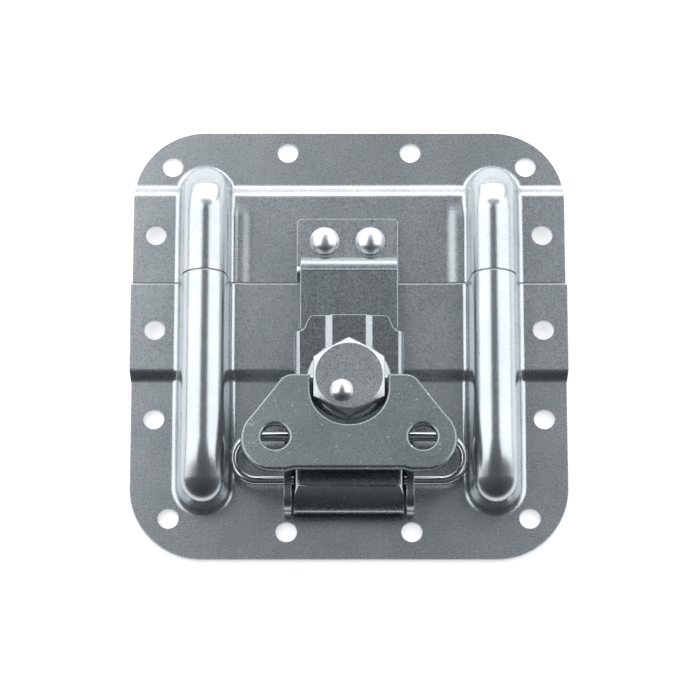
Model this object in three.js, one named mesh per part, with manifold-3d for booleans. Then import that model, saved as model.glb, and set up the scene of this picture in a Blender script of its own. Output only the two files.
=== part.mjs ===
import * as THREE from "three";
import { mergeVertices } from "three/addons/utils/BufferGeometryUtils.js";
import Module from "manifold-3d";

const wasm = await Module();
wasm.setup();

// All sizes in millimetres. Back of the flanges on z = 0, keeper side toward +Y, face toward +Z.

// Pressed plates
const plateWidth = 111.2;
const plateHeight = 114.3;
const sheet = 1.2;
const cornerRadius = 18.5;
const seamY = 15.3;
const seamGap = 0.3;
const stripRise = 2.0;
const stripTopY = 38.6;
const stripTopRun = 4.5;
const stripLowY = -7.5;
const stripLowRun = 3.3;
const stripLedge = 0.45;
const lowTop = sheet;
const stripTop = sheet + stripRise;

// Guard ribs
const ribX = 36.9;
const ribUpperY = 40.3;
const ribLowerY = -38.4;
const ribCrest = 15.2;
const ribRound = 5.8;
const ribDraft = THREE.MathUtils.degToRad(83);
const ribFoot = 1.4;

// Mounting holes
const holeDiameter = 5.1;
const cornerHole = { x: plateWidth / 2 - 9.9, upperY: plateHeight / 2 - 9.4, lowerY: 10.6 - plateHeight / 2 };
const edgeHole = { x: 15.85, upperY: plateHeight / 2 - 5.5, lowerY: 7.05 - plateHeight / 2 };
const sideHoleX = plateWidth / 2 - 5.9;
const sideHolesY = [28.4, 2.8, -20.4];

// Hook strap and keeper
const strapSheet = 1.6;
const strapTop = 8.6;
const strapHalf = 12.5;
const strapSlideGap = 0.5;
const hookBendY = 17.6;
const hookBend = 4.4;
const keeperHalf = 13.0;
const keeperTopY = 32.3;
const keeperRivet = { x: 5.85, y: 26.2, shank: 1.9, head: 3.8, dome: 2.2 };
const keeperShift = -0.4;

// Latch cover
const coverSheet = 1.3;
const coverGap = 0.3;
const coverHalf = 13.9;
const coverBend = 1.5;
const coverEndY = 0.4;
const tongueY = 4.5;
const noseRadius = 5.0;
const noseY = -41.4;
const bossRise = 0.8;
const bandHalf = 5.8;
const flankRun = 1.4;
const coverTop = strapTop + coverGap + coverSheet;

// Hinge bracket and spring ring
const wire = 2.3;
const wireZ = 5.6;
const wireY = -37.86;
const ringRise = 11.56;
const ringHalf = 30.3;
const wireHole = wire / 2 + 0.15;
const bracketSheet = 2.0;
const earGap = 0.5;
const earDrop = 0.2;
const bracketRivet = { x: 8.0, upperY: -22.0, lowerY: -34.6, shank: 1.4, head: 2.5, rise: 0.8 };

// Twist rotor and wing
const rotorY = -13.0;
const hexAcross = 18.0;
const hexHeight = 3.8;
const hexFace = hexAcross / 2 - 0.45;
const journal = 7.2;
const bossLedge = 3.3;
const runGap = 0.3;
const crank = { x: -1.86, y: -3.92 };
const driveShank = 1.9;
const driveHead = 2.95;
const driveDome = 1.7;
const driveWasher = 5.0;
const thrustWasher = 0.4;
const wingSheet = 2.2;
const wingTilt = THREE.MathUtils.degToRad(9.5);
const wingLobe = { x: 18.35, v: 16.8, r: 9.3 };
const wingHole = { x: 18.5, v: 16.7, r: 3.5 };
const slotGap = 0.7;
const washerLedge = 1.5;
const washerGap = 1.0;
const slotHalf = Math.max(hexAcross / 2 + slotGap, journal + washerLedge + washerGap);
const wingSlot = { half: slotHalf, v: 3.4 };
const pin = { r: 0.6, inner: hexAcross / 2 - 2.1, outer: wingSlot.half + 2.9 };

const bossTop = coverTop + bossRise;
const hexBase = bossTop + 0.1 + thrustWasher;
const hexTop = hexBase + hexHeight;
const wingZ = hexBase + wingSheet / 2;
const earTop = coverTop - earDrop;
const bossRadius = journal + bossLedge;

function toSolid(geometry) {
  const bare = geometry.clone();
  bare.deleteAttribute("normal");
  bare.deleteAttribute("uv");
  const merged = mergeVertices(bare, 1e-5);
  const index = merged.index.array;
  const kept = [];
  for (let i = 0; i < index.length; i += 3) {
    const [a, b, c] = [index[i], index[i + 1], index[i + 2]];
    if (a !== b && b !== c && c !== a) kept.push(a, b, c);
  }
  const build = (list) => new wasm.Manifold(new wasm.Mesh({
    numProp: 3,
    vertProperties: Float32Array.from(merged.attributes.position.array),
    triVerts: Uint32Array.from(list),
  }));
  const first = build(kept);
  if (first.volume() > 0) return first;
  const turned = [];
  for (let i = 0; i < kept.length; i += 3) turned.push(kept[i], kept[i + 2], kept[i + 1]);
  return build(turned);
}

function outline(points) {
  return new THREE.Shape(points.map(([a, b]) => new THREE.Vector2(a, b)));
}

function extrude(shape, depth, basis) {
  const geometry = new THREE.ExtrudeGeometry(shape, { depth, bevelEnabled: false, curveSegments: 10 });
  if (basis) geometry.applyMatrix4(basis);
  return geometry;
}

const turnX = new THREE.Matrix4().makeBasis(
  new THREE.Vector3(0, 1, 0),
  new THREE.Vector3(0, 0, 1),
  new THREE.Vector3(1, 0, 0),
);
const turnY = new THREE.Matrix4().makeBasis(
  new THREE.Vector3(1, 0, 0),
  new THREE.Vector3(0, 0, 1),
  new THREE.Vector3(0, -1, 0),
);

// Side profile in (y, z), run across from x0 to x1
function acrossX(points, x0, x1) {
  return toSolid(extrude(outline(points), x1 - x0, turnX).translate(x0, 0, 0));
}

// Front profile in (x, z), run from y0 to y1
function alongY(points, y0, y1) {
  return toSolid(extrude(outline(points), y1 - y0, turnY).translate(0, y1, 0));
}

// Plan profile in (x, y), raised from z0 to z1
function upZ(shape, z0, z1) {
  const plan = Array.isArray(shape) ? outline(shape) : shape;
  return toSolid(extrude(plan, z1 - z0).translate(0, 0, z0));
}

function turned(points, x, y, segments = 32) {
  const profile = points.map(([r, z]) => new THREE.Vector2(r, z));
  const geometry = new THREE.LatheGeometry(profile, segments).rotateX(Math.PI / 2);
  return toSolid(geometry.translate(x, y, 0));
}

function post(x, y, radius, z0, z1, segments = 24) {
  return turned([[0, z0], [radius, z0], [radius, z1], [0, z1]], x, y, segments);
}

function rodX(y, z, radius, x0, x1, segments = 16) {
  const geometry = new THREE.CylinderGeometry(radius, radius, x1 - x0, segments);
  geometry.rotateZ(Math.PI / 2).translate((x0 + x1) / 2, y, z);
  return toSolid(geometry);
}

function block(x0, x1, y0, y1, z0, z1) {
  const geometry = new THREE.BoxGeometry(x1 - x0, y1 - y0, z1 - z0);
  return toSolid(geometry.translate((x0 + x1) / 2, (y0 + y1) / 2, (z0 + z1) / 2));
}

function arc(cx, cy, r, from, to, steps) {
  const points = [];
  for (let i = 0; i <= steps; i += 1) {
    const a = THREE.MathUtils.degToRad(from + ((to - from) * i) / steps);
    points.push([cx + r * Math.cos(a), cy + r * Math.sin(a)]);
  }
  return points;
}

function domeProfile(radius, height, z, below) {
  const sphere = (radius * radius + height * height) / (2 * height);
  const points = [[0, below], [radius, below], [radius, z]];
  const steps = 6;
  const full = Math.asin(Math.min(1, radius / sphere));
  for (let i = 1; i < steps; i += 1) {
    const a = full * (1 - i / steps);
    points.push([sphere * Math.sin(a), z + height - sphere + sphere * Math.cos(a)]);
  }
  points.push([0, z + height]);
  return points;
}

const group = new THREE.Group();
function addNode(name, solid, color, metalness, roughness) {
  const mesh = solid.getMesh();
  const geometry = new THREE.BufferGeometry();
  geometry.setAttribute("position", new THREE.BufferAttribute(Float32Array.from(mesh.vertProperties), 3));
  geometry.setIndex(Array.from(mesh.triVerts));
  geometry.computeVertexNormals();
  const node = new THREE.Mesh(geometry, new THREE.MeshStandardMaterial({ color, metalness, roughness }));
  node.name = name;
  group.add(node);
}

// Pressed plate: raised strip profile, two hollow guard ribs, trimmed and pierced

function stripHeight(y) {
  const ease = (t) => 0.5 - 0.5 * Math.cos(Math.PI * THREE.MathUtils.clamp(t, 0, 1));
  const upper = ease((stripTopY + stripTopRun - y) / stripTopRun);
  const lower = ease((y - (stripLowY - stripLowRun)) / stripLowRun);
  return lowTop + stripRise * Math.min(upper, lower);
}

function stripProfile() {
  const stations = [plateHeight / 2 + 2];
  for (let i = 0; i <= 8; i += 1) stations.push(stripTopY + stripTopRun * (1 - i / 8));
  for (let i = 0; i <= 8; i += 1) stations.push(stripLowY - (stripLowRun * i) / 8);
  stations.push(-plateHeight / 2 - 2);
  const top = stations.map((y) => [y, stripHeight(y)]);
  const under = stations.map((y) => {
    const slope = (stripHeight(y + 0.01) - stripHeight(y - 0.01)) / 0.02;
    const reach = Math.hypot(1, slope);
    return [y + (sheet * slope) / reach, stripHeight(y) - sheet / reach];
  });
  return top.concat(under.reverse());
}

function ribOutside(floor) {
  const points = [[0, ribCrest]];
  const round = ribCrest - ribRound;
  for (let i = 1; i <= 7; i += 1) {
    const a = (ribDraft * i) / 7;
    points.push([ribRound * Math.sin(a), round + ribRound * Math.cos(a)]);
  }
  const last = points[points.length - 1];
  const footTop = floor + ribFoot;
  const wall = last[0] + (last[1] - footTop) / Math.tan(ribDraft);
  points.push([wall, footTop]);
  points.push([wall + ribFoot * 0.29, floor + ribFoot * 0.29]);
  points.push([wall + ribFoot, floor]);
  points.push([wall + ribFoot, floor - 0.3]);
  points.push([0, floor - 0.3]);
  return points;
}

function ribInside() {
  const round = ribCrest - ribRound;
  const radius = ribRound - sheet;
  const points = [[0, round + radius]];
  for (let i = 1; i <= 6; i += 1) {
    const a = (ribDraft * i) / 6;
    points.push([radius * Math.sin(a), round + radius * Math.cos(a)]);
  }
  const last = points[points.length - 1];
  const wall = last[0] + (last[1] - lowTop) / Math.tan(ribDraft);
  points.push([wall, lowTop]);
  points.push([wall + 0.9, 0]);
  points.push([wall + 0.9, -1]);
  points.push([0, -1]);
  return points;
}

function mirrored(points) {
  const left = points.filter(([d]) => d > 0).map(([d, z]) => [-d, z]);
  return points.concat(left.reverse());
}

function shifted(points, x) {
  return points.map(([a, b]) => [a + x, b]);
}

function guardRibs() {
  let outer = null;
  let inner = null;
  const join = (whole, part) => (whole ? whole.add(part) : part);
  for (const side of [-1, 1]) {
    const x = side * ribX;
    const low = shifted(mirrored(ribOutside(lowTop)), x);
    const high = shifted(mirrored(ribOutside(stripTop)), x);
    const hollow = shifted(mirrored(ribInside()), x);
    outer = join(outer, turned(ribOutside(lowTop), x, ribUpperY));
    outer = outer.add(turned(ribOutside(lowTop), x, ribLowerY));
    outer = outer.add(alongY(low, ribLowerY, stripLowY - 0.3));
    outer = outer.add(alongY(high, stripLowY - 0.3, stripTopY + 0.3));
    outer = outer.add(alongY(low, stripTopY + 0.3, ribUpperY));
    inner = join(inner, turned(ribInside(), x, ribUpperY));
    inner = inner.add(turned(ribInside(), x, ribLowerY));
    inner = inner.add(alongY(hollow, ribLowerY, ribUpperY));
  }
  return { outer, inner };
}

function pressedPlate() {
  const { outer, inner } = guardRibs();
  const flat = acrossX(stripProfile(), -plateWidth / 2 - 3, plateWidth / 2 + 3);
  return flat.add(outer).subtract(inner);
}

function mountingHole(x, y) {
  return post(x, y, holeDiameter / 2, -1, ribCrest, 20);
}

const wholePlate = pressedPlate();
const half = plateWidth / 2;
const endY = plateHeight / 2;

const upperShape = new THREE.Shape();
upperShape.moveTo(-half, seamY + seamGap / 2);
upperShape.lineTo(half, seamY + seamGap / 2);
upperShape.lineTo(half, endY - cornerRadius);
upperShape.absarc(half - cornerRadius, endY - cornerRadius, cornerRadius, 0, Math.PI / 2, false);
upperShape.lineTo(-half + cornerRadius, endY);
upperShape.absarc(-half + cornerRadius, endY - cornerRadius, cornerRadius, Math.PI / 2, Math.PI, false);
upperShape.closePath();

let upperDish = wholePlate.intersect(upZ(upperShape, -2, ribCrest + 2));
for (const side of [-1, 1]) {
  upperDish = upperDish.subtract(mountingHole(side * cornerHole.x, cornerHole.upperY));
  upperDish = upperDish.subtract(mountingHole(side * edgeHole.x, edgeHole.upperY));
  upperDish = upperDish.subtract(mountingHole(side * sideHoleX, sideHolesY[0]));
  const shank = keeperRivet.shank;
  upperDish = upperDish.subtract(post(side * keeperRivet.x + keeperShift, keeperRivet.y, shank, 0, 6));
}
addNode("upper_dish", upperDish, "#b9c1c4", 0.9, 0.35);

const wide = half + stripLedge;
const lowerShape = new THREE.Shape();
lowerShape.moveTo(wide, seamY - seamGap / 2);
lowerShape.lineTo(-wide, seamY - seamGap / 2);
lowerShape.lineTo(-wide, stripLowY);
lowerShape.lineTo(-half, stripLowY - stripLowRun);
lowerShape.lineTo(-half, -endY + cornerRadius);
lowerShape.absarc(-half + cornerRadius, -endY + cornerRadius, cornerRadius, Math.PI, Math.PI * 1.5, false);
lowerShape.lineTo(half - cornerRadius, -endY);
lowerShape.absarc(half - cornerRadius, -endY + cornerRadius, cornerRadius, Math.PI * 1.5, Math.PI * 2, false);
lowerShape.lineTo(half, stripLowY - stripLowRun);
lowerShape.lineTo(wide, stripLowY);
lowerShape.closePath();

let lowerDish = wholePlate.intersect(upZ(lowerShape, -2, ribCrest + 2));
for (const side of [-1, 1]) {
  lowerDish = lowerDish.subtract(mountingHole(side * cornerHole.x, cornerHole.lowerY));
  lowerDish = lowerDish.subtract(mountingHole(side * edgeHole.x, edgeHole.lowerY));
  for (const y of sideHolesY.slice(1)) {
    lowerDish = lowerDish.subtract(mountingHole(side * sideHoleX, y));
  }
  for (const y of [bracketRivet.upperY, bracketRivet.lowerY]) {
    lowerDish = lowerDish.subtract(post(side * bracketRivet.x, y, bracketRivet.shank, -1, 5, 16));
  }
}
addNode("lower_dish", lowerDish, "#b5bdc1", 0.9, 0.35);

// Keeper: flat base with an acute folded lip, held by two domed rivets

const keeperBase = stripTop;
const keeperFace = keeperBase + strapSheet;
const lipTop = strapTop - strapSheet - 0.45;
const lipRise = lipTop - keeperFace;
const keeperProfile = [
  [keeperTopY, keeperBase],
  [hookBendY - 0.6, keeperBase],
  [hookBendY - 1.2, keeperBase + 0.25],
  [hookBendY - 1.7, keeperBase + 0.8],
  [hookBendY - 1.75, keeperFace - 0.1],
  [hookBendY - 0.75, lipTop - 0.25],
  [hookBendY - 0.4, lipTop],
  [hookBendY + 0.1, lipTop],
  [hookBendY + 1.45, keeperFace + 0.71 * lipRise],
  [hookBendY + 1.35, keeperFace + 0.54 * lipRise],
  [hookBendY + 0.2, keeperFace + 0.14 * lipRise],
  [hookBendY + 0.35, keeperFace],
  [keeperTopY, keeperFace],
];
const keeperRound = 1.4;
const keeperPlan = new THREE.Shape();
keeperPlan.moveTo(-keeperHalf, hookBendY - 4);
keeperPlan.lineTo(keeperHalf, hookBendY - 4);
keeperPlan.lineTo(keeperHalf, keeperTopY - keeperRound);
keeperPlan.absarc(keeperHalf - keeperRound, keeperTopY - keeperRound, keeperRound, 0, Math.PI / 2, false);
keeperPlan.absarc(-keeperHalf + keeperRound, keeperTopY - keeperRound, keeperRound, Math.PI / 2, Math.PI, false);
keeperPlan.closePath();
let keeper = acrossX(keeperProfile, -keeperHalf, keeperHalf).intersect(upZ(keeperPlan, 0, 20));
keeper = keeper.translate([keeperShift, 0, 0]);
for (const side of [-1, 1]) {
  keeper = keeper.subtract(post(side * keeperRivet.x + keeperShift, keeperRivet.y, keeperRivet.shank, 0, 9));
}
addNode("keeper_hook", keeper, "#9fa8ad", 0.95, 0.22);

for (const [side, label] of [[-1, "left"], [1, "right"]]) {
  const x = side * keeperRivet.x + keeperShift;
  const body = turned(domeProfile(keeperRivet.head, keeperRivet.dome, keeperFace + 0.25, keeperFace), x, keeperRivet.y);
  const shank = post(x, keeperRivet.y, keeperRivet.shank, stripRise - 0.4, keeperFace + 0.5);
  const tail = turned([[0, 0.9], [2.3, 0.9], [2.9, 1.3], [2.9, stripRise], [0, stripRise]], x, keeperRivet.y, 24);
  addNode(`keeper_rivet_${label}`, body.add(shank).add(tail), "#d5dadd", 1, 0.12);
}

// Hook strap: flat draw strap, hook bent down over the keeper lip, window for the crank rivet

const strapUnder = strapTop - strapSheet;
const hookCentre = strapTop - hookBend;
const hookStop = THREE.MathUtils.radToDeg(Math.asin((keeperFace + 0.35 - hookCentre) / hookBend));
const strapEndY = -24.0;
const strapProfile = [[strapEndY, strapUnder]]
  .concat([...arc(hookBendY, hookCentre, hookBend - strapSheet, hookStop, 90, 8)].reverse())
  .concat(arc(hookBendY, hookCentre, hookBend, hookStop, 90, 10))
  .concat([[strapEndY, strapTop]]);
const strapNarrow = coverHalf - coverSheet - strapSlideGap;
const strapShoulder = coverEndY + 0.9;
const hookReach = hookBendY + hookBend;
const strapPlan = [
  [-strapNarrow, strapEndY - 1], [strapNarrow, strapEndY - 1],
  [strapNarrow, strapShoulder], [strapHalf, strapShoulder + 0.5],
  [strapHalf, hookBendY + 2.2], [strapHalf - 0.7, hookReach + 1],
  [-strapHalf + 0.7, hookReach + 1], [-strapHalf, hookBendY + 2.2],
  [-strapHalf, strapShoulder + 0.5], [-strapNarrow, strapShoulder],
];
const crankReach = Math.hypot(crank.x, crank.y);
const windowGap = driveShank + runGap;
const strapWindow = block(
  crank.x - windowGap,
  crankReach + windowGap,
  rotorY - 1.45 * crankReach - windowGap,
  rotorY + crank.y + windowGap,
  0,
  20,
);
let strap = acrossX(strapProfile, -strapHalf, strapHalf).intersect(upZ(strapPlan, 0, 20));
strap = strap.subtract(strapWindow);
addNode("hook_strap", strap, "#8f999e", 0.95, 0.24);

// Latch cover: channel with side walls, rounded nose, guide tongue and a raised keyhole round the rotor

const coverUnder = coverTop - coverSheet;
const noseCentre = coverTop - noseRadius;
const wallEnd = noseCentre + 0.3;
const notchTop = wireZ + wire / 2 + 0.4;
const ringUpperY = wireY + ringRise;
const coverSide = [
  [tongueY, coverTop], [tongueY, coverUnder],
  [coverEndY, coverUnder], [coverEndY, strapUnder - 1.4],
  [ringUpperY + 3.6, strapUnder - 1.4], [ringUpperY + 2.2, notchTop],
  [ringUpperY - 2.2, notchTop], [ringUpperY - 4.6, wireZ - 1.6],
  [wireY - 0.7, wireZ - 1.6], [noseY - noseRadius, wallEnd],
].concat(arc(noseY, noseCentre, noseRadius, 176, 90, 10));
const coverHollow = [
  [coverEndY + 9, coverUnder], [coverEndY + 9, -5],
  [noseY - noseRadius + coverSheet, -5],
].concat(arc(noseY, noseCentre, noseRadius - coverSheet, 180, 90, 8));
const coverFront = [[-coverHalf, -5], [coverHalf, -5]]
  .concat(arc(coverHalf - coverBend, coverTop - coverBend, coverBend, 0, 90, 5))
  .concat(arc(-coverHalf + coverBend, coverTop - coverBend, coverBend, 90, 180, 5));
const tongueRoot = coverHalf - coverBend - 1.1;
const tongueTip = tongueRoot - 1.4;
const coverPlan = [
  [-coverHalf - 1, -60], [coverHalf + 1, -60],
  [coverHalf + 1, coverEndY], [coverHalf - coverBend, coverEndY],
  [tongueRoot, coverEndY + 0.9], [tongueTip + 0.5, tongueY - 0.7], [tongueTip - 0.4, tongueY],
  [-tongueTip + 0.4, tongueY], [-tongueTip - 0.5, tongueY - 0.7], [-tongueRoot, coverEndY + 0.9],
  [-coverHalf + coverBend, coverEndY], [-coverHalf - 1, coverEndY],
];

function keyhole(radius, bandWidth, run, z0, z1, endLimit) {
  const disc = turned([[0, z0 - 0.4], [radius, z0 - 0.4], [radius, z0], [radius - run, z1], [0, z1]], 0, rotorY, 48);
  const band = alongY(
    [[-bandWidth, z0 - 0.4], [bandWidth, z0 - 0.4], [bandWidth, z0], [bandWidth - run, z1],
      [-bandWidth + run, z1], [-bandWidth, z0]],
    rotorY,
    endLimit,
  );
  return disc.add(band);
}

let cover = acrossX(coverSide, -coverHalf, coverHalf).intersect(alongY(coverFront, -60, tongueY + 1));
cover = cover.subtract(acrossX(coverHollow, -coverHalf + coverSheet, coverHalf - coverSheet));
cover = cover.intersect(upZ(coverPlan, -5, 30));
cover = cover.add(keyhole(bossRadius, bandHalf, flankRun, coverTop, bossTop, tongueY));
const sunk = keyhole(bossRadius - 0.5, bandHalf - 0.5, flankRun, coverUnder, coverUnder + bossRise, tongueY + 1);
cover = cover.subtract(sunk);
cover = cover.subtract(post(0, rotorY, journal + runGap, 0, 30, 40));
cover = cover.subtract(rodX(wireY, wireZ, wireHole, -coverHalf - 1, coverHalf + 1));
addNode("latch_cover", cover, "#98a2a7", 0.95, 0.2);

// Hinge bracket riveted to the lower plate

const earInner = coverHalf + earGap;
const earOuter = earInner + bracketSheet;
const bracketFloor = lowTop + bracketSheet;
const earCentre = earTop - noseRadius;
const bracketUpperY = -17.8;
const bracketLowerY = wireY - 2.0;
const earSide = [
  [bracketUpperY, lowTop], [bracketUpperY, bracketFloor],
  [wireY + 8.2, bracketFloor], [wireY + 5.6, earTop - 0.8], [wireY + 4.4, earTop],
].concat(arc(noseY, earCentre, noseRadius, 90, 180, 8)).concat([[noseY - noseRadius, lowTop]]);
let bracket = acrossX(earSide, -earOuter, earOuter);
const between = [[noseY - noseRadius - 1, lowTop - 1], [bracketLowerY, lowTop - 1],
  [bracketLowerY, bracketFloor], [bracketUpperY + 1, bracketFloor],
  [bracketUpperY + 1, 20], [noseY - noseRadius - 1, 20]];
bracket = bracket.subtract(acrossX(between, -earInner, earInner));
const cornerCut = [[-earOuter - 1, lowTop - 1], [-earOuter + 0.9, lowTop - 1], [-earOuter - 1, lowTop + 0.9]];
bracket = bracket.subtract(alongY(cornerCut, -60, 0));
bracket = bracket.subtract(alongY(cornerCut.map(([a, b]) => [-a, b]).reverse(), -60, 0));
bracket = bracket.subtract(rodX(wireY, wireZ, wireHole, -earOuter - 1, earOuter + 1));
for (const side of [-1, 1]) {
  for (const y of [bracketRivet.upperY, bracketRivet.lowerY]) {
    bracket = bracket.subtract(post(side * bracketRivet.x, y, bracketRivet.shank, -1, 9, 16));
  }
}
addNode("hinge_bracket", bracket, "#8d969b", 0.95, 0.22);

for (const [y, row] of [[bracketRivet.upperY, "upper"], [bracketRivet.lowerY, "lower"]]) {
  for (const [side, label] of [[-1, "left"], [1, "right"]]) {
    const x = side * bracketRivet.x;
    const head = turned(domeProfile(bracketRivet.head, bracketRivet.rise - 0.2, bracketFloor + 0.2, bracketFloor), x, y, 24);
    const shank = post(x, y, bracketRivet.shank, 0, bracketFloor + 0.3, 16);
    addNode(`bracket_rivet_${row}_${label}`, head.add(shank), "#c9cfd2", 1, 0.2);
  }
}

// Spring ring: stadium of round wire, lower strand is the hinge pin, ends butt inside the cover

const ringRadius = ringRise / 2;
const ringEnd = ringHalf - wire / 2 - ringRadius;
const ringY = wireY + ringRadius;
function halfRing(side) {
  const torus = new THREE.TorusGeometry(ringRadius, wire / 2, 16, 40).translate(side * ringEnd, ringY, wireZ);
  const x0 = side < 0 ? -ringHalf - 2 : ringEnd;
  const x1 = side < 0 ? -ringEnd : ringHalf + 2;
  return toSolid(torus).intersect(block(x0, x1, ringY - 15, ringY + 15, 0, 15));
}
let ring = halfRing(-1).add(halfRing(1));
ring = ring.add(rodX(wireY, wireZ, wire / 2, -ringEnd, ringEnd));
ring = ring.add(rodX(ringUpperY, wireZ, wire / 2, -ringEnd, ringEnd));
ring = ring.subtract(block(-0.3, 0.3, wireY - 3, wireY + 3, 0, 15));
addNode("spring_ring", ring, "#aab2b6", 1, 0.16);

// Twist rotor: chamfered hexagon head on a round journal, with the crank rivet bored off centre

const crankX = crank.x;
const crankY = rotorY + crank.y;
const hexCorner = hexAcross / Math.sqrt(3);
const hexPlan = [];
for (let i = 0; i < 6; i += 1) {
  const a = Math.PI / 2 + (i * Math.PI) / 3;
  hexPlan.push([hexCorner * Math.cos(a), rotorY + hexCorner * Math.sin(a)]);
}
const chamferDrop = (hexCorner - hexFace) * Math.tan(THREE.MathUtils.degToRad(30));
const chamfer = turned(
  [[0, hexBase - 1], [hexCorner + 0.5, hexBase - 1], [hexCorner + 0.5, hexTop - chamferDrop - 0.29],
    [hexFace, hexTop], [0, hexTop]],
  0,
  rotorY,
  64,
);
let rotor = upZ(hexPlan, hexBase, hexTop).intersect(chamfer);
const journalBase = strapTop + runGap;
rotor = rotor.add(post(0, rotorY, journal, journalBase, hexBase + 0.5, 40));
rotor = rotor.subtract(post(crankX, crankY, driveShank, 0, 30));
const pinHole = pin.r + 0.08;
rotor = rotor.subtract(rodX(rotorY, wingZ, pinHole, -hexAcross, -pin.inner + 0.3, 12));
rotor = rotor.subtract(rodX(rotorY, wingZ, pinHole, pin.inner - 0.3, hexAcross, 12));
addNode("twist_rotor", rotor, "#8b9499", 0.95, 0.3);

const washerZ = bossTop + 0.05;
const washer = post(0, rotorY, journal + washerLedge, washerZ, washerZ + thrustWasher, 36)
  .subtract(post(0, rotorY, journal + 0.15, 0, 30, 36));
addNode("thrust_washer", washer, "#c2c8cb", 1, 0.25);

// Crank rivet, formed over a washer below the strap

const washerTop = strapUnder - 0.2;
const washerLow = washerTop - 0.8;
const driveHeadSolid = turned(domeProfile(driveHead, driveDome, hexTop + 0.15, hexTop), crankX, crankY);
const driveShaft = post(crankX, crankY, driveShank, washerLow - 0.5, hexTop + 0.3);
const driveTail = turned(
  [[0, washerLow - 1], [2.4, washerLow - 1], [3.1, washerLow - 0.6], [3.1, washerLow], [0, washerLow]],
  crankX,
  crankY,
  24,
);
addNode("crank_rivet", driveHeadSolid.add(driveShaft).add(driveTail), "#c9ced1", 1, 0.14);
const crankWasher = post(crankX, crankY, driveWasher, washerLow, washerTop, 32)
  .subtract(post(crankX, crankY, driveShank, 0, 30));
addNode("crank_washer", crankWasher, "#bcc3c6", 1, 0.25);

// Wing handle: flat pressed wing, slot round the rotor, two finger holes, resting tilted on two pins

const wingTop = 0.9;
const wingShoulder = wingSlot.half + 5;
const wingLow = 25.4;
const lobeStart = 137;
const wingHalfPoints = [
  [wingSlot.half, wingTop],
  [wingShoulder, wingTop],
  [wingShoulder + 1.9, wingTop - 0.45],
  [wingShoulder + 3.4, wingTop - 1.9],
].concat(arc(wingLobe.x, -wingLobe.v, wingLobe.r, 180 - lobeStart, -62, 14));
const lastLobe = wingHalfPoints[wingHalfPoints.length - 1];
wingHalfPoints.push([lastLobe[0] - 2.4, lastLobe[1] - 0.75]);
wingHalfPoints.push([wingShoulder + 1.2, -wingLow - 0.6]);
wingHalfPoints.push([wingShoulder - 0.6, -wingLow]);
const wingLeft = wingHalfPoints.map(([a, b]) => [-a, b]).reverse();
const slotArc = arc(0, -wingSlot.v, wingSlot.half, 180, 360, 20);
const wingPlan = wingHalfPoints.concat(wingLeft).concat(slotArc);
let wing = upZ(wingPlan, -wingSheet / 2, wingSheet / 2);
for (const side of [-1, 1]) {
  wing = wing.subtract(post(side * wingHole.x, -wingHole.v, wingHole.r, -5, 5, 28));
  const reach = [wingSlot.half - 1, pin.outer + 0.2].map((x) => side * x).sort((a, b) => a - b);
  wing = wing.subtract(rodX(0, 0, pinHole, reach[0], reach[1], 12));
}
wing = wing.rotate([-THREE.MathUtils.radToDeg(wingTilt), 0, 0]).translate([0, rotorY, wingZ]);
addNode("wing_handle", wing, "#8a9398", 0.95, 0.26);

for (const [side, label] of [[-1, "left"], [1, "right"]]) {
  const reach = [pin.inner, pin.outer].map((x) => side * x).sort((a, b) => a - b);
  addNode(`wing_pin_${label}`, rodX(rotorY, wingZ, pin.r, reach[0], reach[1], 12), "#cdd2d4", 1, 0.2);
}

export default group;
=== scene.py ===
import bpy
import math
from mathutils import Matrix, Vector


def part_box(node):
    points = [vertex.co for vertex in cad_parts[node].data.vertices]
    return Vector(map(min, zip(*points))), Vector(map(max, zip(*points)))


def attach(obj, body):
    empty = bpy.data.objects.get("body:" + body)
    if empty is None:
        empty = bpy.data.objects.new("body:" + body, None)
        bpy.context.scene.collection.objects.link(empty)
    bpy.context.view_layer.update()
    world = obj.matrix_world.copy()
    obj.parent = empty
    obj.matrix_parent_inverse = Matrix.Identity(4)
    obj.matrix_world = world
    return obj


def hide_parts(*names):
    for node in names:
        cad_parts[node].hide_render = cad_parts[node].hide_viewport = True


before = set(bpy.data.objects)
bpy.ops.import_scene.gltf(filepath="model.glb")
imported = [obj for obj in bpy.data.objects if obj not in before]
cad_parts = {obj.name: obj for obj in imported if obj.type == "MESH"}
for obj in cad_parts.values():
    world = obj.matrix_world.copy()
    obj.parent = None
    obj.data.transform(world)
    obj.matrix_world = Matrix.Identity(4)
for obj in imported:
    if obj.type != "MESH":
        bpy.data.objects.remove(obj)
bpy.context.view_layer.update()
print("frame loaded:", len(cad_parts), "nodes")

mm = 0.001


# places taken from the frame, in mm

def boxMm(node):
    low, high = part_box(node)
    return [v / mm for v in low], [v / mm for v in high]


baseLow, baseHigh = boxMm("lower_dish")
lidLow, lidHigh = boxMm("upper_dish")
keeperLow, keeperHigh = boxMm("keeper_hook")
strapLow, strapHigh = boxMm("hook_strap")
coverLow, coverHigh = boxMm("latch_cover")
bracketLow, bracketHigh = boxMm("hinge_bracket")
ringLow, ringHigh = boxMm("spring_ring")
rotorLow, rotorHigh = boxMm("twist_rotor")
washerLow, washerHigh = boxMm("thrust_washer")
crankLow, crankHigh = boxMm("crank_washer")
pinLow, pinHigh = boxMm("wing_pin_left")

rotorY = (washerLow[1] + washerHigh[1]) / 2
crankX = (crankLow[0] + crankHigh[0]) / 2
crankY = (crankLow[1] + crankHigh[1]) / 2
keeperX = (keeperLow[0] + keeperHigh[0]) / 2
hingeZ = (ringLow[2] + ringHigh[2]) / 2
wireRadius = (ringHigh[2] - ringLow[2]) / 2
hingeY = ringLow[1] + wireRadius
pinZ = (pinLow[2] + pinHigh[2]) / 2


# mesh tools

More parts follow.
